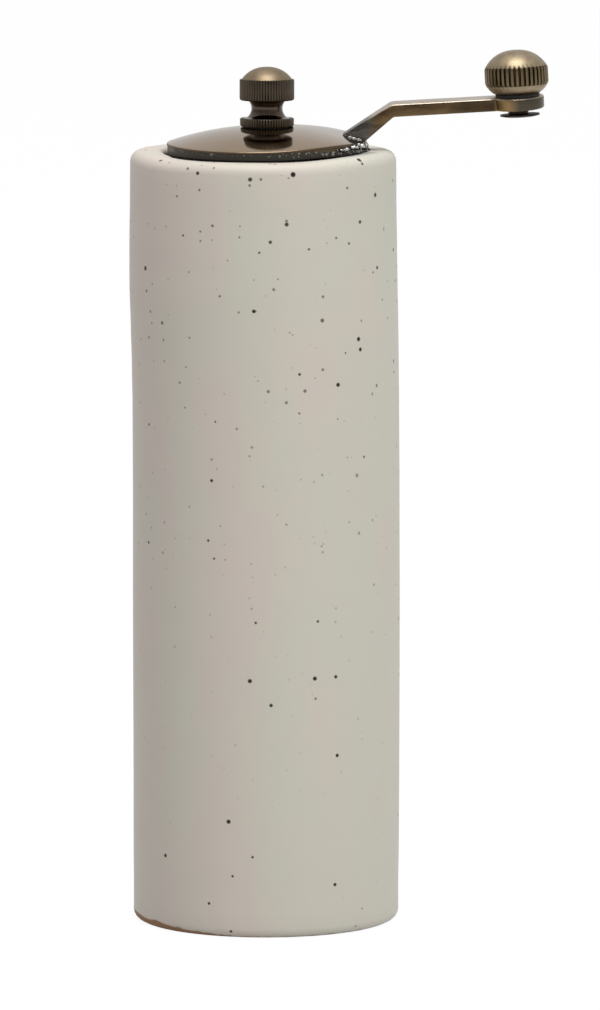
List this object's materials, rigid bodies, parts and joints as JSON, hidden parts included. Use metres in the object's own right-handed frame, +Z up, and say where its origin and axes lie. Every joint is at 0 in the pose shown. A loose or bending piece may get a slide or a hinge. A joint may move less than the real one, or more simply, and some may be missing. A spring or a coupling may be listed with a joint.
{
  "type": "hand cranked seed grinder",
  "caption": "Tall speckled stoneware cylinder mill with a domed brass crank lid, knurled finial nut and ceramic cone burrs in the base.",
  "frame": {"origin": "centre of the foot ring, on the surface that the mill stands on", "axes": "+Z up along the drive shaft; +X along the crank arm at rest; +Y to the back"},
  "size_m": [0.0991, 0.0636, 0.207],
  "materials": {
    "stoneware": "matte speckled cream glaze on wheel-thrown stoneware",
    "lid_brass": "polished antique brass, thinly darkened",
    "finial_brass": "knurled brass, aged dark in the knurl",
    "arm_brass": "antique brass bar, brown in the hollows",
    "solder": "dull silver solder",
    "collar_plastic": "moulded black acetal",
    "nylon": "black nylon",
    "silicone": "moulded grey silicone",
    "housing_plastic": "moulded black ABS",
    "burr_ceramic": "sintered white alumina, unglazed",
    "shaft_steel": "drawn stainless steel",
    "screw_steel": "zinc-plated steel",
    "spring_steel": "stainless spring wire"
  },
  "bodies": {
    "root": {"stoneware_body": "stoneware", "mouth_collar": "collar_plastic", "collar_gasket": "silicone", "mill_housing": "housing_plastic", "housing_sleeve": "silicone", "grinding_ring": "burr_ceramic", "retaining_ring": "housing_plastic", "retainer_screws": "screw_steel", "shaft_bridge": "housing_plastic", "bridge_screws": "screw_steel", "thrust_spring": "spring_steel"},
    "thrust_seat": {"spring_seat": "shaft_steel"},
    "drive": {"drive_shaft": "shaft_steel", "grinding_cone": "burr_ceramic", "nut_washer": "shaft_steel", "lock_nut": "screw_steel"},
    "lid_bearing": {"lid_bearing_ring": "nylon"},
    "crank": {"crank_lid": "lid_brass", "lid_skirt": "lid_brass", "square_bush": "lid_brass", "crank_arm": "arm_brass", "arm_solder": "solder", "knob_washer": "collar_plastic"},
    "knob": {"crank_knob": "lid_brass", "knob_rivet": "arm_brass"},
    "finial": {"adjusting_finial": "finial_brass", "finial_washer": "collar_plastic"}
  },
  "joints": [
    {"name": "lid_lift", "type": "slide", "parent": "root", "child": "lid_bearing", "axis": [0, 0, 1], "range_m": [0, 0.03]},
    {"name": "crank_turn", "type": "hinge", "parent": "lid_bearing", "child": "crank", "pos_m": [0, 0, 0.1825], "axis": [0, 0, 1], "continuous": true},
    {"name": "knob_spin", "type": "hinge", "parent": "crank", "child": "knob", "pos_m": [0.0591, 0, 0.19639], "axis": [-0.0558, 0, 0.9984], "continuous": true},
    {"name": "finial_turn", "type": "hinge", "parent": "crank", "child": "finial", "pos_m": [0, 0, 0.18898], "axis": [0, 0, 1], "range_deg": [-360, 360]},
    {"name": "grind_adjust", "type": "slide", "parent": "root", "child": "thrust_seat", "axis": [0, 0, 1], "range_m": [-0.0008, 0.0008], "deforming": ["thrust_spring"]},
    {"name": "shaft_turn", "type": "hinge", "parent": "thrust_seat", "child": "drive", "pos_m": [0, 0, 0.02], "axis": [0, 0, 1], "continuous": true}
  ],
  "couplings": [
    {"joint": "finial_turn", "follows": "grind_adjust", "rad_per_m": -7854},
    {"joint": "shaft_turn", "follows": "crank_turn", "ratio": 1}
  ]
}
